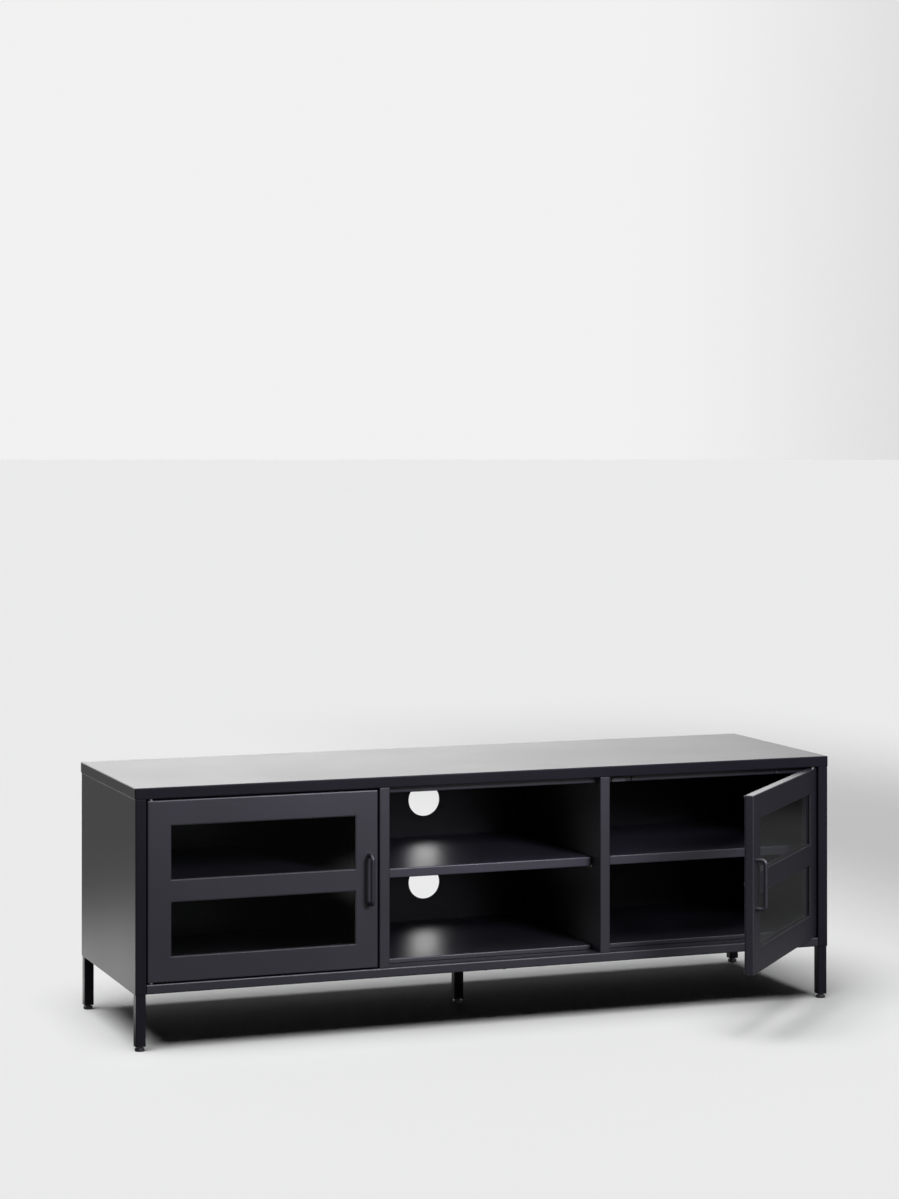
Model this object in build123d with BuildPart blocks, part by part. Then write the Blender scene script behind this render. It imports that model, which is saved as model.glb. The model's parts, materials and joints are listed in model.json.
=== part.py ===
from build123d import *
import os
from math import cos, radians, sin

# Low media cabinet in folded sheet steel on square tube legs. Two hinged glass doors
# close the outer compartments and the middle one is open. Millimetres, +X to the right,
# +Y to the back, +Z up; the origin is on the floor under the middle of the cabinet.

# Overall size
WIDTH = 1500.0
DEPTH = 450.0
HEIGHT = 510.0
BODY_BASE = 110.0

# Sheet work
SHEET = 1.2
BEND = 2.0
CORNER = 2.5
EDGE = 1.8

# Lid
LID_DEPTH = 22.0
LID_LIP = 45.0
LID_OVERHANG = 1.0
LID_BASE = HEIGHT - LID_DEPTH
STIFFENER_GAP = 0.2
STIFFENER_TOP = HEIGHT - 2 * SHEET - STIFFENER_GAP
STIFFENER_HALF = 12.0
STIFFENER_FOOT = 18.0
STIFFENER_LENGTH = 440.0

# Body shell
SIDE_X = WIDTH / 2 - LID_OVERHANG
FRONT_Y = -DEPTH / 2
BACK_Y = 221.8
POST_X = SIDE_X - 21.5
REAR_POST_CLEAR = 2.5
REAR_POST_X = POST_X + REAR_POST_CLEAR
RAIL_TOP = 128.5
LINER_X = 726.4
LINER_FRONT = -202.0
LINER_BACK = 200.4
LINER_RETURN = 13.0
PANEL_GAP = 0.5
PANEL_TOP = LID_BASE - PANEL_GAP
LEG_CLEAR = 0.2
DIVIDER_IN = 228.0
DIVIDER_OUT = 250.0
DIVIDER_LIP = 9.0

# Floors, shelves and back panels
TRAY_FRONT = -183.0
TRAY_BACK = 203.0
TRAY_LEDGE = 181.0
TRAY_LIP = 12.0
SIDE_GAP = 3.0
FLOOR_TOP = 138.5
SHELF_TOP = 319.5
SHELF_BASE = SHELF_TOP - 19.0
BACK_PANEL_Y = 205.0
BACK_PANEL_GAP = 0.4
BACK_PANEL_STEP = 1.0
POST_FLANGE = 15.0
DIVIDER_FLANGE = 9.5
CABLE_HOLE_RADIUS = 35.0
CABLE_HOLE_HEIGHTS = (221.0, 399.0)

# Shelf supports
PIN_RADIUS = 2.5
PIN_REACH = 9.0
PIN_COLLAR_RADIUS = 4.0
PIN_COLLAR = (0.6, 1.4)
PIN_HEIGHT = SHELF_BASE - PIN_RADIUS
PIN_PITCH = 113.5
PIN_Y = 175.0
SLEEVE_RADIUS = 3.5
SLEEVE_FLANGE_RADIUS = 5.0
SLEEVE_FLANGE = 0.6
SLEEVE_LENGTH = 8.0
PIN_SHORT = 1.0

# Legs and levelling glides
LEG = 20.0
LEG_WALL = 1.5
LEG_BASE = 10.0
LEG_TOP = LID_BASE - 1.5
PLATE = 64.0
PLATE_THICK = 2.0
PLATE_CORNER = 4.0
BRACE_HALF = 30.0
BRACE_WALL = 1.5
BRACE_HEIGHT = 15.8
BRACE_FRONT = -222.0
BRACE_BACK = 219.0
GLIDE_RADIUS = 9.5
GLIDE_THICK = 6.5
GLIDE_HUB_RADIUS = 6.0
GLIDE_HUB_TOP = 8.0
GLIDE_EDGE = 1.3
STUD_RADIUS = 4.0
STUD_TOP = 40.0
STUD_POINT = 0.8
INSERT_FLANGE = 0.8
INSERT_TOP = 35.0
RUNNING_FIT = 0.05

# Doors. In a door's own frame x runs along the door from the hinge axis, y to its back.
DOOR_BASE = 131.5
DOOR_TOP = 484.5
DOOR_WIDTH = 472.0
DOOR_THICK = 19.0
HINGE_INSET = 8.0
HINGE_SETBACK = 7.0
HINGE_X = 717.0
HINGE_Y = FRONT_Y + HINGE_SETBACK
DOOR_HEIGHT = DOOR_TOP - DOOR_BASE
DOOR_MIDDLE = DOOR_WIDTH / 2 - HINGE_INSET
DOOR_FACE = -HINGE_SETBACK
DOOR_BACK = DOOR_FACE + DOOR_THICK
DOOR_LIP = 9.0
BACK_INSET = 0.5
RIGHT_DOOR_ANGLE = 47.5
WINDOW_WIDTH = 379.0
WINDOW_HEIGHT = 107.0
WINDOW_BASES = (180.0, 329.0)
GASKET = 1.0
GLASS = 4.0
GLASS_COVER = 8.0
GLASS_EDGE = 0.4
PIVOT_RADIUS = 3.0
PIVOT_REACH = 7.5
PIVOT_COLLAR_RADIUS = 5.0
PIVOT_HEAD_RADIUS = 5.4
PIVOT_HEAD = 2.0
BUSH_RADIUS = 4.0
BUSH_LENGTH = 3.0
BUSH_FLANGE_RADIUS = 5.5
BUSH_FLANGE = 0.8
BUSH_GAP = 0.3

# Handle, a bent round bar
HANDLE_RADIUS = 4.5
HANDLE_CENTRES = 96.0
HANDLE_MIDDLE = 308.0
HANDLE_REACH = 19.5
HANDLE_BEND = 8.0
HANDLE_EDGE = 18.0
HANDLE_ALONG = DOOR_WIDTH - HINGE_INSET - HANDLE_EDGE
HANDLE_HOLE = 10.0
HANDLE_HOLE_SPARE = 1.0

# Headers behind the top edge of the doors, with their bumpers and magnetic catches
HEADER_BASE = 474.0
HEADER_RETURN = 10.0
HEADER_FLANGE = 22.0
BUMPER_RADIUS = 4.0
BUMPER_LENGTH = 3.7
BUMPER_HEIGHT = 479.3
BUMPER_EDGE = 1.2
BUMPER_PLACES = (-640.0, -310.0, 310.0, 640.0)
CATCH_X = 278.0
CATCH_LENGTH = 30.0
CATCH_SPAN = (475.0, 484.0)
CATCH_PROUD = 3.4
CATCH_CORNER = 1.5
CATCH_EDGE = 0.6
MAGNET = (22.0, 5.0)
MAGNET_DEPTH = 2.0
MAGNET_PROUD = 0.1

# Screws
SCREW_RADIUS = 2.0
SCREW_HOLE = 2.1
HEAD_RADIUS = 3.6
HEAD_HEIGHT = 1.8
SOCKET_RADIUS = 1.3
SOCKET_DEPTH = 1.3
LID_SCREW_LENGTH = 9.0
BASE_SCREW_LENGTH = 7.0
BACK_SCREW_LENGTH = 6.0
DOOR_SCREW_LENGTH = 5.0
LID_SCREW_X = (-640.0, -340.0, -100.0, 100.0, 340.0, 640.0)
LID_SCREW_Y = -190.0
BRACE_SCREWS = [(x, y) for x in (-20.0, 20.0) for y in (-215.0, 212.0)]
PLATE_SCREWS = [(x, y) for x in (-24.0, 24.0) for y in (-24.0, 24.0)]
BACK_SCREW_Z = (160.0, 308.0, 456.0)
BACK_SCREW_X = (-735.0, -245.5, -232.5, 232.5, 245.5, 735.0)

SIGNS = {"left": -1, "right": 1}
COMPARTMENTS = {
    "left": (-LINER_X, -DIVIDER_OUT),
    "centre": (-DIVIDER_IN, DIVIDER_IN),
    "right": (DIVIDER_OUT, LINER_X),
}
LEG_X = SIDE_X - SHEET - LEG / 2
LEG_ROWS = {
    "front": FRONT_Y + SHEET + LEG / 2,
    "rear": BACK_Y - SHEET - LEG / 2,
}
PIN_SPOTS = [(y, PIN_HEIGHT) for y in (-PIN_Y, PIN_Y)]
SPARE_SPOTS = [(y, PIN_HEIGHT + row * PIN_PITCH) for y in (-PIN_Y, PIN_Y) for row in (-1, 1)]

os.makedirs("parts", exist_ok=True)


def save(piece, name):
    """Label a finished piece and write it to its own file."""
    piece.part.label = name
    export_step(piece.part, f"parts/{name}.step")


# ---------------------------------------------------------------- shared shapes


def tray(plane, length, width, depth, lip):
    """A folded tray that opens on the plane, with a lip round the opening."""
    up = Axis(plane.origin, plane.z_dir)
    with BuildPart() as pan:
        with BuildSketch(plane):
            RectangleRounded(length, width, CORNER)
        extrude(amount=depth)
        fillet(faces().sort_by(up)[0].edges() + faces().sort_by(up)[-1].edges(), EDGE)
        with BuildSketch(plane.offset(SHEET)):
            RectangleRounded(length - 2 * SHEET, width - 2 * SHEET, CORNER - SHEET)
        extrude(amount=depth - 2 * SHEET, mode=Mode.SUBTRACT)
        with BuildSketch(plane):
            Rectangle(length - 2 * lip, width - 2 * lip)
        extrude(amount=SHEET, mode=Mode.SUBTRACT)
    return pan.part


def folded(plane, points, length, side, thickness=SHEET):
    """Bent sheet: a strip whose section follows the points and runs straight for a length."""
    with BuildPart() as strip:
        with BuildSketch(plane):
            with BuildLine():
                FilletPolyline(*points, radius=BEND)
                offset(amount=thickness, side=side)
            make_face()
        extrude(amount=length)
    return strip.part


def screw(seat, length):
    """A low-headed socket screw: its head stands on the seat and its shank goes in below."""
    with BuildPart() as piece:
        with BuildSketch(seat):
            Circle(HEAD_RADIUS)
        extrude(amount=HEAD_HEIGHT)
        fillet(faces().sort_by(Axis(seat.origin, seat.z_dir))[-1].edges(), HEAD_HEIGHT / 2)
        with BuildSketch(seat.offset(HEAD_HEIGHT)):
            RegularPolygon(SOCKET_RADIUS, 6)
        extrude(amount=-SOCKET_DEPTH, mode=Mode.SUBTRACT)
        with BuildSketch(seat):
            Circle(SCREW_RADIUS)
        extrude(amount=-length)
    return piece.part


def back_screw_places(start, end):
    """The back panel screws between two places along the cabinet."""
    return [(x, z) for x in BACK_SCREW_X if start < x < end for z in BACK_SCREW_Z]


def save_screws(name, seats, length):
    """Write one group of identical screws."""
    with BuildPart() as screws:
        for seat in seats:
            add(screw(seat, length))
    save(screws, name)


# ---------------------------------------------------------------- lid


def make_lid():
    with BuildPart() as top_panel:
        add(tray(Plane.XY.offset(LID_BASE), WIDTH, DEPTH, LID_DEPTH, LID_LIP))
        with BuildSketch(Plane.XY.offset(LID_BASE)):
            with Locations((-HINGE_X, HINGE_Y), (HINGE_X, HINGE_Y)):
                Circle(BUSH_RADIUS)
            with Locations(*[(x, LID_SCREW_Y) for x in LID_SCREW_X]):
                Circle(SCREW_HOLE)
        extrude(amount=SHEET, mode=Mode.SUBTRACT)
    save(top_panel, "top_panel")


def make_lid_stiffeners():
    """Hat sections under the lid that bring its load down on to the dividers."""
    foot_z = LID_BASE + SHEET
    for name, sign in SIGNS.items():
        x = sign * (DIVIDER_IN + DIVIDER_OUT) / 2
        points = [
            (x - STIFFENER_HALF - STIFFENER_FOOT, foot_z),
            (x - STIFFENER_HALF, foot_z),
            (x - STIFFENER_HALF, STIFFENER_TOP),
            (x + STIFFENER_HALF, STIFFENER_TOP),
            (x + STIFFENER_HALF, foot_z),
            (x + STIFFENER_HALF + STIFFENER_FOOT, foot_z),
        ]
        with BuildPart() as stiffener:
            plane = Plane.XZ.offset(-STIFFENER_LENGTH / 2)
            add(folded(plane, points, STIFFENER_LENGTH, Side.LEFT))
        save(stiffener, f"lid_stiffener_{name}")


def make_headers():
    """Rails under the lid's front lip; the doors close against the outer two."""
    points = [
        (LINER_FRONT + HEADER_RETURN, HEADER_BASE),
        (LINER_FRONT, HEADER_BASE),
        (LINER_FRONT, LID_BASE),
        (LINER_FRONT + HEADER_FLANGE, LID_BASE),
    ]
    for name, (start, end) in COMPARTMENTS.items():
        with BuildPart() as header:
            add(folded(Plane.YZ.offset(start), points, end - start, Side.RIGHT))
            with BuildSketch(Plane.XY.offset(LID_BASE)):
                with Locations(*[(x, LID_SCREW_Y) for x in LID_SCREW_X if start < x < end]):
                    Circle(SCREW_HOLE)
            extrude(amount=-SHEET, mode=Mode.SUBTRACT)
        save(header, f"header_{name}")
    under = LID_BASE - SHEET
    seats = [Plane((x, LID_SCREW_Y, under), z_dir=(0, 0, -1)) for x in LID_SCREW_X]
    save_screws("lid_screws", seats, LID_SCREW_LENGTH)


# ---------------------------------------------------------------- body shell


def make_base():
    """The base tray, whose front wall is the bottom rail, with the brace inside it."""
    with BuildPart() as base_tray:
        points = [
            (-TRAY_LEDGE, RAIL_TOP),
            (FRONT_Y, RAIL_TOP),
            (FRONT_Y, BODY_BASE),
            (BACK_Y, BODY_BASE),
            (BACK_Y, RAIL_TOP),
            (TRAY_LEDGE, RAIL_TOP),
        ]
        add(folded(Plane.YZ.offset(-LINER_X), points, 2 * LINER_X, Side.LEFT))
        with BuildSketch(Plane.XY.offset(RAIL_TOP)):
            with Locations((-HINGE_X, HINGE_Y), (HINGE_X, HINGE_Y)):
                Circle(BUSH_RADIUS)
        extrude(amount=-SHEET, mode=Mode.SUBTRACT)
        with BuildSketch(Plane.XY.offset(BODY_BASE)):
            with Locations(*BRACE_SCREWS, *PLATE_SCREWS):
                Circle(SCREW_HOLE)
        extrude(amount=SHEET, mode=Mode.SUBTRACT)
    save(base_tray, "base_tray")

    floor_z = BODY_BASE + SHEET
    with BuildPart() as centre_brace:
        points = [
            (-BRACE_HALF, floor_z + BRACE_HEIGHT),
            (-BRACE_HALF, floor_z),
            (BRACE_HALF, floor_z),
            (BRACE_HALF, floor_z + BRACE_HEIGHT),
        ]
        plane = Plane.XZ.offset(-BRACE_BACK)
        add(folded(plane, points, BRACE_BACK - BRACE_FRONT, Side.LEFT, BRACE_WALL))
        with BuildSketch(Plane.XY.offset(floor_z)):
            with Locations(*BRACE_SCREWS, *PLATE_SCREWS):
                Circle(SCREW_HOLE)
        extrude(amount=BRACE_WALL, mode=Mode.SUBTRACT)
    save(centre_brace, "centre_brace")

    down = (0, 0, -1)
    seats = [Plane((x, y, BODY_BASE), z_dir=down) for x, y in BRACE_SCREWS]
    seats += [Plane((x, y, BODY_BASE - PLATE_THICK), z_dir=down) for x, y in PLATE_SCREWS]
    save_screws("base_screws", seats, BASE_SCREW_LENGTH)


def make_sides():
    """Each side is an outer panel that wraps the legs, with a liner inside it."""
    for name, sign in SIGNS.items():
        inward = Side.LEFT if sign > 0 else Side.RIGHT
        outward = Side.RIGHT if sign > 0 else Side.LEFT
        outer = [
            (sign * POST_X, FRONT_Y),
            (sign * SIDE_X, FRONT_Y),
            (sign * SIDE_X, BACK_Y),
            (sign * REAR_POST_X, BACK_Y),
        ]
        with BuildPart() as side_panel:
            add(folded(Plane.XY.offset(BODY_BASE), outer, LID_BASE - BODY_BASE, inward))
            with BuildSketch(Plane.XY.offset(BODY_BASE)):
                with Locations((sign * LEG_X, (LINER_FRONT + LINER_BACK) / 2)):
                    Rectangle(LEG + LEG_CLEAR, LINER_BACK - LINER_FRONT)
            extrude(amount=SHEET)
            with BuildSketch(Plane.XZ.offset(-BACK_Y)):
                with Locations(*back_screw_places(*sorted((sign * POST_X, sign * SIDE_X)))):
                    Circle(SCREW_HOLE)
            extrude(amount=SHEET, mode=Mode.SUBTRACT)
        save(side_panel, f"{name}_side_panel")

        inner = [
            (sign * (LINER_X + LINER_RETURN), LINER_FRONT),
            (sign * LINER_X, LINER_FRONT),
            (sign * LINER_X, LINER_BACK),
            (sign * (LINER_X + LINER_RETURN), LINER_BACK),
        ]
        base = BODY_BASE + SHEET
        with BuildPart() as liner:
            add(folded(Plane.XY.offset(base), inner, PANEL_TOP - base, outward))
            with BuildSketch(Plane.YZ.offset(sign * LINER_X)):
                with Locations(*PIN_SPOTS, *SPARE_SPOTS):
                    Circle(SLEEVE_RADIUS)
            extrude(amount=sign * SHEET, mode=Mode.SUBTRACT)
        save(liner, f"{name}_side_liner")


def make_dividers():
    """Box dividers that stand on the bottom rail and carry the lid."""
    for name, sign in SIGNS.items():
        x0 = min(sign * DIVIDER_IN, sign * DIVIDER_OUT)
        x1 = max(sign * DIVIDER_IN, sign * DIVIDER_OUT)
        points = [
            (x0 + DIVIDER_LIP, BACK_Y),
            (x0, BACK_Y),
            (x0, FRONT_Y),
            (x1, FRONT_Y),
            (x1, BACK_Y),
            (x1 - DIVIDER_LIP, BACK_Y),
        ]
        with BuildPart() as divider:
            add(folded(Plane.XY.offset(RAIL_TOP), points, LID_BASE - RAIL_TOP, Side.LEFT))
            with BuildSketch(Plane.YZ.offset(x0)):
                with Locations(*PIN_SPOTS):
                    Circle(SLEEVE_RADIUS)
            extrude(amount=x1 - x0, mode=Mode.SUBTRACT)
            with BuildSketch(Plane.YZ.offset(sign * DIVIDER_OUT)):
                with Locations(*SPARE_SPOTS):
                    Circle(SLEEVE_RADIUS)
            extrude(amount=-sign * SHEET, mode=Mode.SUBTRACT)
            with BuildSketch(Plane.XZ.offset(-BACK_Y)):
                with Locations(*back_screw_places(min(x0, x1), max(x0, x1))):
                    Circle(SCREW_HOLE)
            extrude(amount=SHEET, mode=Mode.SUBTRACT)
        save(divider, f"{name}_divider")


def make_back_panels():
    """Recessed back panels, flanged over the posts and the dividers."""
    for name, (start, end) in COMPARTMENTS.items():
        wall_start = start + BACK_PANEL_GAP - (BACK_PANEL_STEP if name == "left" else 0)
        wall_end = end - BACK_PANEL_GAP + (BACK_PANEL_STEP if name == "right" else 0)
        flange_start = POST_FLANGE if name == "left" else DIVIDER_FLANGE
        flange_end = POST_FLANGE if name == "right" else DIVIDER_FLANGE
        points = [
            (wall_start - flange_start, BACK_Y),
            (wall_start, BACK_Y),
            (wall_start, BACK_PANEL_Y),
            (wall_end, BACK_PANEL_Y),
            (wall_end, BACK_Y),
            (wall_end + flange_end, BACK_Y),
        ]
        base = RAIL_TOP + PANEL_GAP
        with BuildPart() as back_panel:
            add(folded(Plane.XY.offset(base), points, PANEL_TOP - base, Side.LEFT))
            with BuildSketch(Plane.XZ.offset(-BACK_Y)):
                with Locations(*back_screw_places(points[0][0], points[-1][0])):
                    Circle(SCREW_HOLE)
            extrude(amount=-SHEET, mode=Mode.SUBTRACT)
            if name == "centre":
                with BuildSketch(Plane.XZ.offset(-BACK_PANEL_Y)):
                    with Locations(*[(0, z) for z in CABLE_HOLE_HEIGHTS]):
                        Circle(CABLE_HOLE_RADIUS)
                extrude(amount=-SHEET, mode=Mode.SUBTRACT)
        save(back_panel, f"back_panel_{name}")
    places = back_screw_places(-SIDE_X, SIDE_X)
    seats = [Plane((x, BACK_Y + SHEET, z), z_dir=(0, 1, 0)) for x, z in places]
    save_screws("back_panel_screws", seats, BACK_SCREW_LENGTH)


# ---------------------------------------------------------------- shelves and floors


def make_shelves_and_floors():
    depth = TRAY_BACK - TRAY_FRONT
    for name, (start, end) in COMPARTMENTS.items():
        centre = ((start + end) / 2, (TRAY_FRONT + TRAY_BACK) / 2)
        length = end - start - 2 * SIDE_GAP
        with BuildPart() as shelf:
            plane = Plane((*centre, SHELF_BASE))
            add(tray(plane, length, depth, SHELF_TOP - SHELF_BASE, TRAY_LIP))
        save(shelf, f"shelf_{name}")
        with BuildPart() as floor_panel:
            plane = Plane((*centre, RAIL_TOP))
            add(tray(plane, length, depth, FLOOR_TOP - RAIL_TOP, TRAY_LIP))
        save(floor_panel, f"floor_{name}")


def support_planes():
    """Every wall that carries a shelf: its place, which way it faces and its sleeve holes."""
    for name, (start, end) in COMPARTMENTS.items():
        spots = PIN_SPOTS if name == "centre" else PIN_SPOTS + SPARE_SPOTS
        yield start, 1, spots
        yield end, -1, spots


def make_shelf_supports():
    """Sleeves in the walls, and a pin in each one under a shelf."""
    with BuildPart() as shelf_sleeves:
        for x, facing, spots in support_planes():
            for y, z in spots:
                wall = Plane((x, y, z), z_dir=(facing, 0, 0))
                with BuildSketch(wall):
                    Circle(SLEEVE_FLANGE_RADIUS)
                    Circle(PIN_RADIUS, mode=Mode.SUBTRACT)
                extrude(amount=SLEEVE_FLANGE)
                with BuildSketch(wall):
                    Circle(SLEEVE_RADIUS)
                    Circle(PIN_RADIUS, mode=Mode.SUBTRACT)
                extrude(amount=-SLEEVE_LENGTH)
    save(shelf_sleeves, "shelf_sleeves")

    with BuildPart() as shelf_pins:
        for x, facing, _ in support_planes():
            for y, z in PIN_SPOTS:
                wall = Plane((x, y, z), z_dir=(facing, 0, 0))
                with BuildSketch(wall.offset(PIN_SHORT - SLEEVE_LENGTH)):
                    Circle(PIN_RADIUS)
                extrude(amount=SLEEVE_LENGTH - PIN_SHORT + PIN_REACH)
                with BuildSketch(wall.offset(PIN_COLLAR[0])):
                    Circle(PIN_COLLAR_RADIUS)
                extrude(amount=PIN_COLLAR[1] - PIN_COLLAR[0])
    save(shelf_pins, "shelf_pins")


# ---------------------------------------------------------------- legs and glides


def leg_places():
    """Name and floor position of every leg."""
    for row, y in LEG_ROWS.items():
        for name, sign in SIGNS.items():
            yield f"{row}_{name}", (sign * LEG_X, y)
    yield "centre", (0.0, 0.0)


def make_legs():
    for name, place in leg_places():
        top = BODY_BASE - PLATE_THICK if name == "centre" else LEG_TOP
        with BuildPart() as leg:
            with BuildSketch(Plane.XY.offset(LEG_BASE)):
                with Locations(place):
                    RectangleRounded(LEG, LEG, BEND)
                    Rectangle(LEG - 2 * LEG_WALL, LEG - 2 * LEG_WALL, mode=Mode.SUBTRACT)
            extrude(amount=top - LEG_BASE)
            if name == "centre":
                with BuildSketch(Plane.XY.offset(top)):
                    RectangleRounded(PLATE, PLATE, PLATE_CORNER)
                    with Locations(*PLATE_SCREWS):
                        Circle(SCREW_HOLE, mode=Mode.SUBTRACT)
                extrude(amount=PLATE_THICK)
            if name.startswith("rear"):
                wall_y = place[1] + LEG / 2
                with BuildSketch(Plane.XZ.offset(-wall_y)):
                    with Locations(*back_screw_places(place[0] - LEG / 2, place[0] + LEG / 2)):
                        Circle(SCREW_HOLE)
                extrude(amount=LEG_WALL, mode=Mode.SUBTRACT)
        save(leg, f"leg_{name}")


def make_leg_inserts():
    """Plastic plugs in the leg ends, bored for the glide studs."""
    with BuildPart() as leg_inserts:
        for _, place in leg_places():
            with BuildSketch(Plane.XY.offset(LEG_BASE - INSERT_FLANGE)):
                with Locations(place):
                    RectangleRounded(LEG, LEG, BEND)
                    Circle(STUD_RADIUS + RUNNING_FIT, mode=Mode.SUBTRACT)
            extrude(amount=INSERT_FLANGE)
            with BuildSketch(Plane.XY.offset(LEG_BASE)):
                with Locations(place):
                    Rectangle(LEG - 2 * LEG_WALL, LEG - 2 * LEG_WALL)
                    Circle(STUD_RADIUS + RUNNING_FIT, mode=Mode.SUBTRACT)
            extrude(amount=INSERT_TOP - LEG_BASE)
    save(leg_inserts, "leg_inserts")


def make_glides():
    """Round screw-in feet; the threaded stud is drawn plain."""
    for name, place in leg_places():
        with BuildPart() as glide:
            with BuildSketch(Plane.XY):
                with Locations(place):
                    Circle(GLIDE_RADIUS)
            extrude(amount=GLIDE_THICK)
            fillet(edges().filter_by(GeomType.CIRCLE), GLIDE_EDGE)
            with BuildSketch(Plane.XY.offset(GLIDE_THICK)):
                with Locations(place):
                    Circle(GLIDE_HUB_RADIUS)
            extrude(amount=GLIDE_HUB_TOP - GLIDE_THICK)
            with BuildSketch(Plane.XY.offset(GLIDE_HUB_TOP)):
                with Locations(place):
                    Circle(STUD_RADIUS)
            extrude(amount=STUD_TOP - GLIDE_HUB_TOP)
            chamfer(faces().sort_by(Axis.Z)[-1].edges(), STUD_POINT)
        save(glide, f"glide_{name}")


# ---------------------------------------------------------------- doors


def hinge_frame(name):
    """A door's own frame on its hinge axis; the right door stands open."""
    angle = radians(RIGHT_DOOR_ANGLE if name == "right" else 0.0)
    origin = (SIGNS[name] * HINGE_X, HINGE_Y, 0)
    return Plane(origin=origin, x_dir=(cos(angle), sin(angle), 0), z_dir=(0, 0, 1))


def make_door_frame(name, hinge, along):
    """The front of the door: a tray with two windows cut in its face."""
    depth = DOOR_THICK - SHEET
    with BuildPart() as frame:
        with BuildSketch(hinge.offset(DOOR_BASE)):
            with Locations((along * DOOR_MIDDLE, DOOR_FACE + depth / 2)):
                RectangleRounded(DOOR_WIDTH, depth, CORNER)
        extrude(amount=DOOR_HEIGHT)
        fillet(faces().sort_by(Axis.Z)[0].edges() + faces().sort_by(Axis.Z)[-1].edges(), EDGE)
        with BuildSketch(hinge.offset(DOOR_BASE + SHEET)):
            with Locations((along * DOOR_MIDDLE, DOOR_FACE + depth / 2)):
                RectangleRounded(DOOR_WIDTH - 2 * SHEET, depth - 2 * SHEET, CORNER - SHEET)
        extrude(amount=DOOR_HEIGHT - 2 * SHEET, mode=Mode.SUBTRACT)
        for base in WINDOW_BASES:
            with BuildSketch(hinge.offset(base)):
                with Locations((along * DOOR_MIDDLE, DOOR_FACE)):
                    Rectangle(WINDOW_WIDTH, 4 * SHEET)
            extrude(amount=WINDOW_HEIGHT, mode=Mode.SUBTRACT)
        with BuildSketch(hinge.offset(DOOR_BASE + DOOR_LIP)):
            with Locations((along * DOOR_MIDDLE, DOOR_FACE + depth)):
                Rectangle(DOOR_WIDTH - 2 * DOOR_LIP, 4 * SHEET)
        extrude(amount=DOOR_HEIGHT - 2 * DOOR_LIP, mode=Mode.SUBTRACT)
        for base in (DOOR_BASE, DOOR_TOP - SHEET):
            with BuildSketch(hinge.offset(base)):
                Circle(PIVOT_RADIUS)
            extrude(amount=SHEET, mode=Mode.SUBTRACT)
        for seat in handle_seats(hinge, along, DOOR_FACE):
            with BuildSketch(seat):
                Circle(SCREW_HOLE)
            extrude(amount=SHEET, mode=Mode.SUBTRACT)
        for seat in door_screw_seats(hinge, along, DOOR_BACK - SHEET):
            with BuildSketch(seat):
                Circle(SCREW_HOLE)
            extrude(amount=-SHEET, mode=Mode.SUBTRACT)
    save(frame, f"{name}_door_frame")


def make_door_back(name, hinge, along):
    """The back of the door: a flat frame whose window returns hold the glass."""
    glass_back = DOOR_FACE + SHEET + GASKET + GLASS
    with BuildPart() as back:
        with BuildSketch(hinge.offset(DOOR_BASE + BACK_INSET)):
            with Locations((along * DOOR_MIDDLE, DOOR_BACK - SHEET / 2)):
                Rectangle(DOOR_WIDTH - 2 * BACK_INSET, SHEET)
        extrude(amount=DOOR_HEIGHT - 2 * BACK_INSET)
        for base in WINDOW_BASES:
            with BuildSketch(hinge.offset(base - SHEET)):
                with Locations((along * DOOR_MIDDLE, (glass_back + DOOR_BACK) / 2)):
                    Rectangle(WINDOW_WIDTH + 2 * SHEET, DOOR_BACK - glass_back)
            extrude(amount=WINDOW_HEIGHT + 2 * SHEET)
        for base in WINDOW_BASES:
            with BuildSketch(hinge.offset(base)):
                with Locations((along * DOOR_MIDDLE, (glass_back + DOOR_BACK) / 2)):
                    Rectangle(WINDOW_WIDTH, DOOR_THICK)
            extrude(amount=WINDOW_HEIGHT, mode=Mode.SUBTRACT)
        for seat in door_screw_seats(hinge, along, DOOR_BACK):
            with BuildSketch(seat):
                Circle(SCREW_HOLE)
            extrude(amount=-SHEET, mode=Mode.SUBTRACT)
    save(back, f"{name}_door_back")
    seats = door_screw_seats(hinge, along, DOOR_BACK)
    save_screws(f"{name}_door_screws", seats, DOOR_SCREW_LENGTH)


def make_door_glass(name, hinge, along):
    """One pane behind both windows, with the gasket between it and the door's face."""
    base = WINDOW_BASES[0] - GLASS_COVER
    height = WINDOW_BASES[1] + WINDOW_HEIGHT + GLASS_COVER - base
    width = WINDOW_WIDTH + 2 * GLASS_COVER
    gasket_y = DOOR_FACE + SHEET + GASKET / 2
    glass_y = DOOR_FACE + SHEET + GASKET + GLASS / 2
    with BuildPart() as glass:
        with BuildSketch(hinge.offset(base)):
            with Locations((along * DOOR_MIDDLE, glass_y)):
                Rectangle(width, GLASS)
        extrude(amount=height)
        chamfer(edges(), GLASS_EDGE)
    save(glass, f"{name}_door_glass")

    with BuildPart() as gasket:
        with BuildSketch(hinge.offset(base)):
            with Locations((along * DOOR_MIDDLE, gasket_y)):
                Rectangle(width, GASKET)
        extrude(amount=height)
        for window_base in WINDOW_BASES:
            with BuildSketch(hinge.offset(window_base + GASKET)):
                with Locations((along * DOOR_MIDDLE, gasket_y)):
                    Rectangle(WINDOW_WIDTH - 2 * GASKET, 2 * GASKET)
            extrude(amount=WINDOW_HEIGHT - 2 * GASKET, mode=Mode.SUBTRACT)
    save(gasket, f"{name}_door_gasket")


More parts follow.
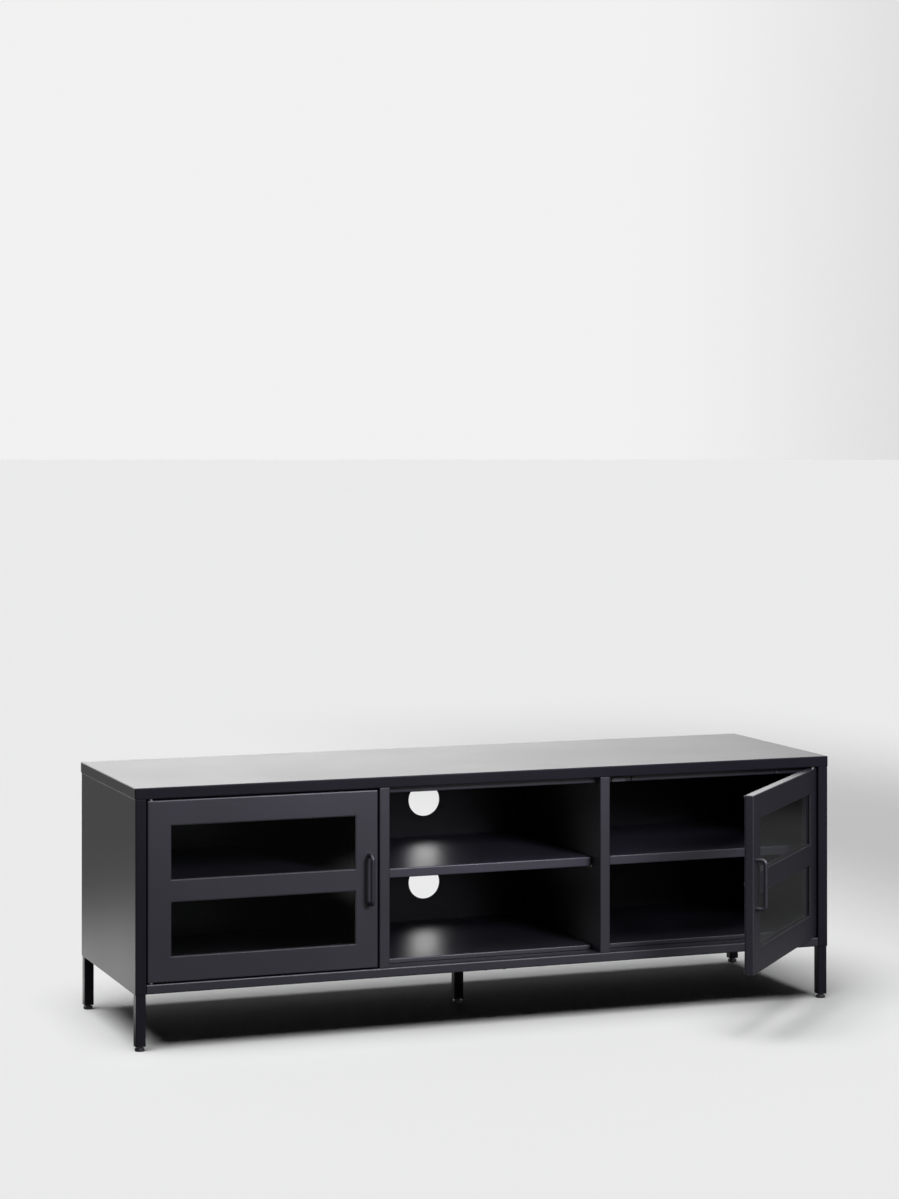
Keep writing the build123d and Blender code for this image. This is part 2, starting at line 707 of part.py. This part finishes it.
def door_screw_seats(hinge, along, depth):
    """Planes for the screws round the back of a door, facing backwards."""
    seats = []
    for edge in (DOOR_LIP / 2 - HINGE_INSET, DOOR_WIDTH - HINGE_INSET - DOOR_LIP / 2):
        for z in (DOOR_BASE + DOOR_LIP / 2, HANDLE_MIDDLE, DOOR_TOP - DOOR_LIP / 2):
            origin = hinge.from_local_coords((along * edge, depth, z))
            seats.append(Plane(origin=origin, z_dir=hinge.y_dir))
    return seats


def handle_seats(hinge, along, depth):
    """Planes at the two ends of the handle, facing backwards."""
    seats = []
    for z in (HANDLE_MIDDLE - HANDLE_CENTRES / 2, HANDLE_MIDDLE + HANDLE_CENTRES / 2):
        origin = hinge.from_local_coords((along * HANDLE_ALONG, depth, z))
        seats.append(Plane(origin=origin, z_dir=hinge.y_dir))
    return seats


def make_handle(name, hinge, along):
    low = HANDLE_MIDDLE - HANDLE_CENTRES / 2
    high = HANDLE_MIDDLE + HANDLE_CENTRES / 2
    origin = hinge.from_local_coords((along * HANDLE_ALONG, DOOR_FACE, 0))
    upright = Plane(origin=origin, x_dir=-hinge.y_dir, z_dir=-hinge.x_dir)
    with BuildPart() as handle:
        with BuildLine(upright) as bar:
            corners = [(0, low), (HANDLE_REACH, low), (HANDLE_REACH, high), (0, high)]
            FilletPolyline(*corners, radius=HANDLE_BEND)
        with BuildSketch(Plane(origin=bar.line @ 0, z_dir=bar.line % 0)):
            Circle(HANDLE_RADIUS)
        sweep()
        for seat in handle_seats(hinge, along, DOOR_FACE):
            with BuildSketch(seat):
                Circle(SCREW_RADIUS)
            extrude(amount=-HANDLE_HOLE, mode=Mode.SUBTRACT)
    save(handle, f"{name}_door_handle")
    seats = handle_seats(hinge, along, DOOR_FACE + SHEET)
    save_screws(f"{name}_handle_screws", seats, SHEET + HANDLE_HOLE - HANDLE_HOLE_SPARE)


def make_hinge_pins(name, hinge):
    """Pivot pins riveted to the door's top and bottom, each with a collar outside."""
    collar = DOOR_BASE - RAIL_TOP - BUSH_FLANGE - BUSH_GAP
    with BuildPart() as pins:
        for face, outward in ((DOOR_BASE, -1), (DOOR_TOP, 1)):
            with BuildSketch(hinge.offset(face)):
                Circle(PIVOT_RADIUS)
            extrude(amount=outward * PIVOT_REACH)
            with BuildSketch(hinge.offset(face)):
                Circle(PIVOT_RADIUS)
            extrude(amount=-outward * (SHEET + PIVOT_HEAD))
            with BuildSketch(hinge.offset(face)):
                Circle(PIVOT_COLLAR_RADIUS)
            extrude(amount=outward * collar)
            with BuildSketch(hinge.offset(face - outward * SHEET)):
                Circle(PIVOT_HEAD_RADIUS)
            extrude(amount=-outward * PIVOT_HEAD)
    save(pins, f"{name}_hinge_pins")


def make_hinge_bushes():
    """Flanged bushes in the bottom rail and in the lid's lip."""
    with BuildPart() as hinge_bushes:
        for sign in SIGNS.values():
            for face, towards_door in ((RAIL_TOP, 1), (LID_BASE, -1)):
                seat = Plane((sign * HINGE_X, HINGE_Y, face), z_dir=(0, 0, towards_door))
                with BuildSketch(seat):
                    Circle(BUSH_FLANGE_RADIUS)
                    Circle(PIVOT_RADIUS + RUNNING_FIT, mode=Mode.SUBTRACT)
                extrude(amount=BUSH_FLANGE)
                with BuildSketch(seat):
                    Circle(BUSH_RADIUS)
                    Circle(PIVOT_RADIUS + RUNNING_FIT, mode=Mode.SUBTRACT)
                extrude(amount=-BUSH_LENGTH)
    save(hinge_bushes, "hinge_bushes")


def make_stops():
    """Bumpers and magnetic catches on the fronts of the outer headers."""
    front = Plane.XZ.offset(-LINER_FRONT)
    with BuildPart() as door_bumpers:
        with BuildSketch(front):
            with Locations(*[(x, BUMPER_HEIGHT) for x in BUMPER_PLACES]):
                Circle(BUMPER_RADIUS)
        extrude(amount=BUMPER_LENGTH)
        fillet(faces().group_by(Axis.Y)[0].edges(), BUMPER_EDGE)
    save(door_bumpers, "door_bumpers")

    height = (CATCH_SPAN[0] + CATCH_SPAN[1]) / 2
    for name, sign in SIGNS.items():
        with BuildPart() as catch:
            with BuildSketch(front):
                with Locations((sign * CATCH_X, height)):
                    RectangleRounded(CATCH_LENGTH, CATCH_SPAN[1] - CATCH_SPAN[0], CATCH_CORNER)
            extrude(amount=CATCH_PROUD)
            fillet(faces().sort_by(Axis.Y)[0].edges(), CATCH_EDGE)
            with BuildSketch(front.offset(CATCH_PROUD)):
                with Locations((sign * CATCH_X, height)):
                    Rectangle(*MAGNET)
            extrude(amount=-MAGNET_DEPTH, mode=Mode.SUBTRACT)
        save(catch, f"catch_{name}")

    with BuildPart() as catch_magnets:
        with BuildSketch(front.offset(CATCH_PROUD + MAGNET_PROUD)):
            with Locations(*[(sign * CATCH_X, height) for sign in SIGNS.values()]):
                Rectangle(*MAGNET)
        extrude(amount=-MAGNET_DEPTH - MAGNET_PROUD)
    save(catch_magnets, "catch_magnets")


# ---------------------------------------------------------------- the cabinet

make_lid()
make_lid_stiffeners()
make_headers()
make_base()
make_sides()
make_dividers()
make_back_panels()
make_shelves_and_floors()
make_shelf_supports()
make_legs()
make_leg_inserts()
make_glides()
make_hinge_bushes()
make_stops()

for door_name, door_sign in SIGNS.items():
    door_hinge = hinge_frame(door_name)
    make_door_frame(door_name, door_hinge, -door_sign)
    make_door_back(door_name, door_hinge, -door_sign)
    make_door_glass(door_name, door_hinge, -door_sign)
    make_handle(door_name, door_hinge, -door_sign)
    make_hinge_pins(door_name, door_hinge)
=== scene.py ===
import json
import math

import bmesh
import bpy
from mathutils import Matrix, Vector

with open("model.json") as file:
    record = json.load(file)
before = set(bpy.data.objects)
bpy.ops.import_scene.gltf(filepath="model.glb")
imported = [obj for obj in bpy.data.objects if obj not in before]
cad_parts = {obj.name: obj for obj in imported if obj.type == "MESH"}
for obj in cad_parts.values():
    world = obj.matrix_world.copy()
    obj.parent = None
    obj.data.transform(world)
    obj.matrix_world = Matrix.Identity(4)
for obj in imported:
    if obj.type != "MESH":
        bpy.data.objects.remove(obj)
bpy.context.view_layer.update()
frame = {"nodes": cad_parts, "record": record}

# ---------------------------------------------------------------- places and sizes, in metres

CAMERA_PLACE = (-2.187, -5.824, 1.267)
CAMERA_TURN = -20.43
CAMERA_LENS = 89.33
CAMERA_SHIFT = -0.169
CAMERA_SENSOR = 36.0  # millimetres
CAMERA_REACH = 60.0
LEVEL = 90.0  # degrees, a camera that looks straight ahead

FLOOR_HALF = 60.0
GLOW_DEPTH = 0.002
HALF_WIDTH = 0.75
HALF_DEPTH = 0.225
# what reflections see of the floor: distances from the cabinet, then strengths near it and far off
GLOW_NEAR = 0.2
GLOW_FAR = 1.1
GLOW_SKIRT = 0.15
GLOW_BACK = 1.1
GLOW_FRONT = 0.16
GLOW_BACK_REST = 0.40
GLOW_REST = 0.02
GLOW_BEHIND = (-0.25, 0.15)
GLOW_LEFTWARD = (0.3, 1.4)
POOL_CORE = 0.15
# bright pools on the floor: middle x and y, half width, half depth, strength
POOLS = (
    (0.85, -1.7, 0.70, 1.0, 1.2),
    (2.4, 0.7, 1.2, 1.2, 0.05),
    (-1.1, 0.7, 0.6, 0.8, 1.5),
)
# painted shade on the floor at the right: where the patch rises and falls along x and y
SHADE_RISE = (0.8, 1.9)
SHADE_FALL = (2.2, 3.6)
SHADE_FRONT = (-1.6, -0.2)
SHADE_BACK = (2.0, 6.0)
# name, strength, angular size and where it stands
SUNS = (
    ("overhead", 2.95, 50.0, (-0.22, -0.17, 1.0)),
    ("back_wall", 0.16, 60.0, (0.1, 0.75, 0.66)),
)
FILL_PLACE = (0.8, -3.0, 1.75)
FILL_AIM = (0.0, -0.2, 0.3)
FILL_SIZE = 0.9
FILL_POWER = 145.0
FILL_COLOUR = (0.88, 0.84, 1.0)
# the backdrop's level, and how much painted shade dips it over a range of view directions towards the
# right
BACKDROP = 0.885
BACKDROP_DIP = 0.26
DIP_EDGES = (0.40, 0.56, 0.80)
# level of the reflected surroundings between the lamps, and its share below the horizon
LAMP_REST = 0.35
BELOW_SHARE = 0.2
HORIZON_BLUR = 0.06
# azimuth from the back towards the right, elevation, inner and outer half angles, strength
LAMPS = (
    (-4.0, 13.0, 16.0, 42.0, 4.0),
    (150.0, 50.0, 12.0, 34.0, 2.0),
)

WHITE = (1.0, 1.0, 1.0, 1.0)
# middle of the noise textures' range, which most materials spread over their own limits
NOISE_LOW = 0.3
NOISE_HIGH = 0.7
COAT_TONES = ((0.0076, 0.0070, 0.0105), (0.0096, 0.0089, 0.0130))
EDGE_ROUND = 0.0022
GLASS_TINT = (0.90, 0.92, 0.91, 1.0)
GLASS_MIRROR = 0.035
GLASS_SLANT_MIRROR = 0.9
GLASS_SLANT_POWER = 5.0
EDGE_SAMPLES = 4
# parts of the cabinet that get lit and shaded copies of the black powder coat: painted shade on the shell,
# legs, floors and inner panels (a darker tone, plus a lower IOR that dims reflections on the shell and
# inner panels), painted light on the shelves (a lighter tone)
SHELL = ("top_panel", "left_side_panel", "right_side_panel")
SHELL_PAINTED_SHADE = 0.7
SHELL_IOR = 1.2
SHELVES = ("shelf_left", "shelf_centre", "shelf_right")
SHELF_PAINTED_LIGHT = 1.7
FLOOR_PAINTED_SHADE = 0.8
INNER = (
    "back_panel_left",
    "back_panel_centre",
    "back_panel_right",
    "left_side_liner",
    "right_side_liner",
)
INNER_PAINTED_SHADE = 0.4
INNER_IOR = 1.25


# ---------------------------------------------------------------- node helpers


RANGE_SOCKETS = ("From Min", "From Max", "To Min", "To Max")


class Graph:
    """A material's node tree, with short calls to add and join nodes."""

    def __init__(self, name):
        self.material = bpy.data.materials.new(name)
        self.material.use_nodes = True
        self.tree = self.material.node_tree
        self.tree.nodes.clear()
        self.output = self.add("ShaderNodeOutputMaterial")

    def add(self, kind, settings=None, **inputs):
        node = self.tree.nodes.new(kind)
        for name, value in (settings or {}).items():
            setattr(node, name, value)
        for name, value in inputs.items():
            self.put(node, name.replace("_", " "), value)
        return node

    def put(self, node, name, value):
        socket = node.inputs[name]
        if isinstance(value, bpy.types.NodeSocket):
            self.tree.links.new(value, socket)
        else:
            socket.default_value = value

    def coordinates(self):
        return self.add("ShaderNodeTexCoord").outputs["Object"]

    def noise(self, scale, detail=2.0, roughness=0.5, vector=None):
        node = self.add("ShaderNodeTexNoise", Scale=scale, Detail=detail)
        node.inputs["Roughness"].default_value = roughness
        self.put(node, "Vector", vector or self.coordinates())
        return node.outputs["Fac"]

    def ramp(self, value, low, high, to_low, to_high, settings=None):
        node = self.add("ShaderNodeMapRange", settings, Value=value)
        for name, number in zip(RANGE_SOCKETS, (low, high, to_low, to_high)):
            node.inputs[name].default_value = number
        return node.outputs["Result"]

    def spread(self, noise, to_low, to_high):
        return self.ramp(noise, NOISE_LOW, NOISE_HIGH, to_low, to_high)

    def blend(self, factor, first, second):
        node = self.add("ShaderNodeMix", {"data_type": "RGBA"})
        self.put(node, "Factor", factor)
        for socket, colour in zip([s for s in node.inputs if s.type == "RGBA"], (first, second)):
            if isinstance(colour, bpy.types.NodeSocket):
                self.tree.links.new(colour, socket)
            else:
                socket.default_value = (*colour, 1.0)
        return [s for s in node.outputs if s.type == "RGBA"][0]

    def math(self, operation, first, second=0.0):
        node = self.add("ShaderNodeMath", {"operation": operation})
        for socket, value in zip(node.inputs, (first, second)):
            if isinstance(value, bpy.types.NodeSocket):
                self.tree.links.new(value, socket)
            else:
                socket.default_value = value
        return node.outputs[0]

    def smooth(self, value, edges, to_low, to_high):
        return self.ramp(value, *edges, to_low, to_high, {"interpolation_type": "SMOOTHSTEP"})

    def bump(self, height, strength, distance, normal=None):
        node = self.add("ShaderNodeBump", Strength=strength, Distance=distance, Height=height)
        if normal is not None:
            self.put(node, "Normal", normal)
        return node.outputs["Normal"]

    def principled(self, **inputs):
        shader = self.add("ShaderNodeBsdfPrincipled", **inputs)
        self.tree.links.new(shader.outputs["BSDF"], self.output.inputs["Surface"])
        return self.material


# ---------------------------------------------------------------- materials


def powder_coat(name="black_powder_coat", painted_light_factor=1.0, ior=1.5):
    """Satin black powder coat: fine orange peel, a slight violet cast, uneven gloss."""
    g = Graph(name)
    place = g.coordinates()
    grain = g.noise(2600.0, 2.0, 0.6, place)
    peel = g.noise(520.0, 3.0, 0.55, place)
    cloud = g.noise(5.0, 3.0, 0.5, place)
    # painted light and shade: the tones are scaled up or down for lit and shaded copies of this coat
    dark, light = (tuple(painted_light_factor * c for c in tone) for tone in COAT_TONES)
    colour = g.blend(g.spread(cloud, 0.0, 1.0), dark, light)
    gloss = g.spread(cloud, 0.385, 0.405)
    round_edge = g.add("ShaderNodeBevel", {"samples": EDGE_SAMPLES}, Radius=EDGE_ROUND).outputs["Normal"]
    normal = g.bump(peel, 0.16, 0.0006, round_edge)
    normal = g.bump(grain, 0.10, 0.0002, normal)
    return g.principled(Base_Color=colour, Roughness=gloss, Normal=normal, IOR=ior)


def clear_glass():
    """Thin clear pane: what is behind shows through, and each face mirrors a little more at a slant."""
    g = Graph("clear_glass")
    smear = g.noise(14.0, 4.0, 0.6)
    facing = g.add("ShaderNodeLayerWeight", Blend=0.5).outputs["Facing"]
    slant = g.math("POWER", facing, GLASS_SLANT_POWER)
    mirror = g.math("ADD", g.math("MULTIPLY", slant, GLASS_SLANT_MIRROR), GLASS_MIRROR)
    gloss = g.ramp(smear, 0.4, 0.75, 0.02, 0.07)
    clear = g.add("ShaderNodeBsdfTransparent", Color=GLASS_TINT)
    shine = g.add("ShaderNodeBsdfGlossy", Color=WHITE, Roughness=gloss)
    mix = g.add("ShaderNodeMixShader")
    g.tree.links.new(mirror, mix.inputs[0])
    g.tree.links.new(clear.outputs[0], mix.inputs[1])
    g.tree.links.new(shine.outputs[0], mix.inputs[2])
    g.tree.links.new(mix.outputs[0], g.output.inputs["Surface"])
    return g.material


def nickel():
    """Bright nickel plate with a faint turned grain."""
    g = Graph("nickel_plate")
    place = g.coordinates()
    turned = g.noise(1800.0, 2.0, 0.5, place)
    tone = g.blend(g.noise(60.0, 3.0, 0.5, place), (0.60, 0.56, 0.50), (0.74, 0.71, 0.65))
    gloss = g.spread(turned, 0.18, 0.30)
    ridges = g.bump(turned, 0.08, 0.0001)
    return g.principled(Base_Color=tone, Roughness=gloss, Metallic=1.0, Normal=ridges)


def black_screw():
    """Black oxide steel, a little worn."""
    g = Graph("black_screw")
    place = g.coordinates()
    speck = g.noise(300.0, 3.0, 0.6, place)
    tone = g.blend(speck, (0.020, 0.020, 0.022), (0.045, 0.043, 0.042))
    gloss = g.spread(g.noise(900.0, 2.0, 0.5, place), 0.32, 0.46)
    return g.principled(Base_Color=tone, Roughness=gloss, Metallic=0.4)


def black_nylon():
    """Moulded black nylon."""
    g = Graph("black_nylon")
    place = g.coordinates()
    grain = g.noise(1500.0, 3.0, 0.6, place)
    patch = g.noise(40.0, 2.0, 0.5, place)
    tone = g.blend(patch, (0.010, 0.010, 0.011), (0.017, 0.017, 0.018))
    gloss = g.spread(grain, 0.44, 0.58)
    return g.principled(Base_Color=tone, Roughness=gloss, Normal=g.bump(grain, 0.2, 0.0003))


def black_rubber():
    """Matt black rubber."""
    g = Graph("black_rubber")
    place = g.coordinates()
    grain = g.noise(2200.0, 3.0, 0.7, place)
    tone = g.blend(grain, (0.008, 0.008, 0.008), (0.014, 0.014, 0.014))
    gloss = g.spread(grain, 0.7, 0.85)
    return g.principled(Base_Color=tone, Roughness=gloss, Normal=g.bump(grain, 0.2, 0.0002))


def zinc_steel():
    """Zinc plated sheet with a faint spangle."""
    g = Graph("zinc_steel")
    place = g.coordinates()
    cell = g.add("ShaderNodeTexVoronoi", Scale=140.0)
    g.put(cell, "Vector", place)
    spangle = g.ramp(cell.outputs["Distance"], 0.0, 1.0, 0.0, 1.0)
    tone = g.blend(spangle, (0.45, 0.46, 0.47), (0.62, 0.62, 0.63))
    gloss = g.spread(g.noise(90.0, 2.0, 0.5, place), 0.32, 0.5)
    return g.principled(Base_Color=tone, Roughness=gloss, Metallic=1.0)


MATERIALS = {
    "black_powder_coat": powder_coat,
    "clear_glass": clear_glass,
    "nickel_plate": nickel,
    "black_screw": black_screw,
    "black_nylon": black_nylon,
    "black_rubber": black_rubber,
    "zinc_steel": zinc_steel,
}


def coat(node, material):
    """Put one material in every slot of a node, or in a new slot where it has none."""
    for holder in node.material_slots:
        holder.material = material
    if not node.material_slots:
        node.data.materials.append(material)


def dress_cad_nodes():
    """Give every CAD node the material of its slot in the record, then the lit and shaded copies of the
    coat (painted light and painted shade).
    """
    made = {name: make() for name, make in MATERIALS.items()}
    for row in frame["record"]["subparts"]:
        coat(frame["nodes"][row["node"]], made[row["material_slot"]])
    # painted shade and painted light: darker copies for the shell, floors and inner panels, a lighter copy
    # for the shelves
    shell = powder_coat("painted_shade_coat_shell", SHELL_PAINTED_SHADE, SHELL_IOR)
    shelf = powder_coat("painted_light_coat_shelf", SHELF_PAINTED_LIGHT)
    low = powder_coat("painted_shade_coat_floor", FLOOR_PAINTED_SHADE)
    inner = powder_coat("painted_shade_coat_inner", INNER_PAINTED_SHADE, INNER_IOR)
    for name, node in frame["nodes"].items():
        if name in SHELL or name.startswith("leg_") and name != "leg_inserts":
            coat(node, shell)
        elif name in INNER:
            coat(node, inner)
        elif name in SHELVES:
            coat(node, shelf)
        elif name.startswith("floor_"):
            coat(node, low)


# ---------------------------------------------------------------- stage, light and camera


def floor_paint():
    """Pale matt floor with a painted shaded patch behind the right end."""
    g = Graph("stage_paint")
    place = g.add("ShaderNodeSeparateXYZ")
    g.put(place, "Vector", g.coordinates())
    x, y = place.outputs[:2]
    rise = g.smooth(x, SHADE_RISE, 0.0, 1.0)
    fall = g.smooth(x, SHADE_FALL, 1.0, 0.0)
    front = g.smooth(y, SHADE_FRONT, 0.0, 1.0)
    back = g.smooth(y, SHADE_BACK, 1.0, 0.0)
    painted_shade_patch = g.math("MULTIPLY", g.math("MULTIPLY", rise, fall), g.math("MULTIPLY", front, back))
    tone = g.blend(g.noise(0.6), (0.870, 0.876, 0.872), (0.880, 0.886, 0.882))
    # painted shade: the floor colour is darkened inside the patch
    colour = g.blend(painted_shade_patch, tone, (0.56, 0.56, 0.56))
    return g.principled(Base_Color=colour, Roughness=1.0, Specular_IOR_Level=0.0)


def glow_paint():
    """What the cabinet's paint and glass see of the floor: bright beside it, dark under it and far off."""
    g = Graph("floor_glow")
    place = g.add("ShaderNodeSeparateXYZ")
    g.put(place, "Vector", g.coordinates())
    x, y = place.outputs[:2]
    across = g.math("MAXIMUM", g.math("SUBTRACT", g.math("ABSOLUTE", x), HALF_WIDTH), 0.0)
    along = g.math("MAXIMUM", g.math("SUBTRACT", g.math("ABSOLUTE", y), HALF_DEPTH), 0.0)
    square = g.math("ADD", g.math("MULTIPLY", across, across), g.math("MULTIPLY", along, along))
    away = g.math("POWER", square, 0.5)
    behind = g.smooth(y, GLOW_BEHIND, 0.0, 1.0)
    leftward = g.smooth(x, GLOW_LEFTWARD, 1.0, 0.0)
    back_left = g.math("MULTIPLY", behind, leftward)
    near = g.math("ADD", g.math("MULTIPLY", back_left, GLOW_BACK - GLOW_FRONT), GLOW_FRONT)
    rest = g.math("ADD", g.math("MULTIPLY", back_left, GLOW_BACK_REST - GLOW_REST), GLOW_REST)
    fall = g.smooth(away, (GLOW_NEAR, GLOW_FAR), 1.0, 0.0)
    light = g.math("ADD", rest, g.math("MULTIPLY", fall, g.math("SUBTRACT", near, rest)))
    light = g.math("MULTIPLY", light, g.smooth(away, (0.0, GLOW_SKIRT), 0.0, 1.0))
    for middle_x, middle_y, half_x, half_y, strength in POOLS:
        pool_x = g.math("DIVIDE", g.math("SUBTRACT", x, middle_x), half_x)
        pool_y = g.math("DIVIDE", g.math("SUBTRACT", y, middle_y), half_y)
        pool = g.math("ADD", g.math("MULTIPLY", pool_x, pool_x), g.math("MULTIPLY", pool_y, pool_y))
        light = g.math("ADD", light, g.smooth(pool, (POOL_CORE, 1.0), strength, 0.0))
    shader = g.add("ShaderNodeEmission", Color=WHITE, Strength=light)
    g.tree.links.new(shader.outputs["Emission"], g.output.inputs["Surface"])
    return g.material


def make_plane(name, half, height, paint):
    mesh = bpy.data.meshes.new(name)
    shape = bmesh.new()
    ends = ((-half, -half), (half, -half), (half, half), (-half, half))
    shape.faces.new([shape.verts.new((x, y, height)) for x, y in ends])
    shape.to_mesh(mesh)
    shape.free()
    mesh.materials.append(paint)
    plane = bpy.data.objects.new(name, mesh)
    bpy.context.scene.collection.objects.link(plane)
    return plane


def make_stage():
    """A wide floor that reflections pass through, and the glow that they meet below it."""
    floor = make_plane("floor", FLOOR_HALF, 0.0, floor_paint())
    floor.visible_glossy = False
    glow = make_plane("floor_glow", FLOOR_HALF, -GLOW_DEPTH, glow_paint())
    glow.visible_camera = False
    glow.visible_diffuse = False
    glow.visible_transmission = False
    glow.visible_shadow = False
    return floor


def make_sun(name, power, angle, source):
    data = bpy.data.lights.new(name, "SUN")
    data.energy = power
    data.angle = math.radians(angle)
    light = bpy.data.objects.new(name, data)
    light.rotation_euler = (-Vector(source)).to_track_quat("-Z", "Y").to_euler()
    bpy.context.scene.collection.objects.link(light)


def make_fill(floor):
    """A soft lamp at the front right that lights the cabinet and leaves the floor alone."""
    data = bpy.data.lights.new("front_fill", "AREA")
    data.shape = "DISK"
    data.size = FILL_SIZE
    data.energy = FILL_POWER
    data.color = FILL_COLOUR
    light = bpy.data.objects.new("front_fill", data)
    light.location = FILL_PLACE
    light.rotation_euler = (Vector(FILL_AIM) - Vector(FILL_PLACE)).to_track_quat("-Z", "Y").to_euler()
    light.visible_camera = False
    bpy.context.scene.collection.objects.link(light)
    receivers = bpy.data.collections.new("front_fill_receivers")
    receivers.objects.link(floor)
    receivers.collection_objects[0].light_linking.link_state = "EXCLUDE"
    light.light_linking.receiver_collection = receivers


def make_world():
    """A pale backdrop for the eye, and soft lamps that show only in reflections."""
    world = bpy.data.worlds.new("studio")
    world.use_nodes = True
    world.cycles_visibility.diffuse = False
    tree = world.node_tree
    tree.nodes.clear()

    def node(kind, **settings):
        made = tree.nodes.new(kind)
        for name, value in settings.items():
            setattr(made, name, value)
        return made

    def maths(operation, first, second):
        made = node("ShaderNodeMath", operation=operation)
        for socket, value in zip(made.inputs, (first, second)):
            if isinstance(value, bpy.types.NodeSocket):
                tree.links.new(value, socket)
            else:
                socket.default_value = value
        return made.outputs[0]

    def fade(value, low, high, to_low, to_high):
        made = node("ShaderNodeMapRange", interpolation_type="SMOOTHSTEP")
        tree.links.new(value, made.inputs["Value"])
        for name, number in zip(RANGE_SOCKETS, (low, high, to_low, to_high)):
            made.inputs[name].default_value = number
        return made.outputs["Result"]

    way = node("ShaderNodeTexCoord").outputs["Generated"]
    parts = node("ShaderNodeSeparateXYZ")
    tree.links.new(way, parts.inputs["Vector"])
    total = LAMP_REST
    for azimuth, elevation, inner, outer, strength in LAMPS:
        turn, rise = math.radians(azimuth), math.radians(elevation)
        dark, bright = math.cos(math.radians(outer)), math.cos(math.radians(inner))
        axis = (math.sin(turn) * math.cos(rise), math.cos(turn) * math.cos(rise), math.sin(rise))
        dot = node("ShaderNodeVectorMath", operation="DOT_PRODUCT")
        tree.links.new(way, dot.inputs[0])
        dot.inputs[1].default_value = axis
        total = maths("ADD", total, fade(dot.outputs["Value"], dark, bright, 0.0, strength))
    level = fade(parts.outputs["Z"], -HORIZON_BLUR, HORIZON_BLUR, BELOW_SHARE, 1.0)
    total = maths("MULTIPLY", total, level)
    start, deepest, end = DIP_EDGES
    # painted shade: the backdrop seen by the camera is darkened towards the right
    painted_shade_dip = fade(parts.outputs["X"], start, deepest, 0.0, BACKDROP_DIP)
    painted_shade_dip = maths("MULTIPLY", painted_shade_dip, fade(parts.outputs["X"], deepest, end, 1.0, 0.0))
    backdrop = maths("SUBTRACT", BACKDROP, painted_shade_dip)
    seen = node("ShaderNodeLightPath").outputs["Is Camera Ray"]
    choose = node("ShaderNodeMix", data_type="FLOAT")
    tree.links.new(seen, choose.inputs[0])
    tree.links.new(total, choose.inputs[2])
    tree.links.new(backdrop, choose.inputs[3])
    background = node("ShaderNodeBackground")
    background.inputs["Color"].default_value = WHITE
    tree.links.new(choose.outputs[0], background.inputs["Strength"])
    output = node("ShaderNodeOutputWorld")
    tree.links.new(background.outputs[0], output.inputs["Surface"])
    bpy.context.scene.world = world


def make_camera():
    data = bpy.data.cameras.new("camera")
    data.sensor_width = CAMERA_SENSOR
    data.lens = CAMERA_LENS
    data.shift_y = CAMERA_SHIFT
    data.clip_end = CAMERA_REACH
    camera = bpy.data.objects.new("camera", data)
    camera.location = CAMERA_PLACE
    camera.rotation_euler = (math.radians(LEVEL), 0.0, math.radians(CAMERA_TURN))
    bpy.context.scene.collection.objects.link(camera)
    bpy.context.scene.camera = camera


bpy.context.scene.view_settings.view_transform = "Standard"
make_camera()
make_world()
make_fill(make_stage())
for lamp in SUNS:
    make_sun(*lamp)
dress_cad_nodes()
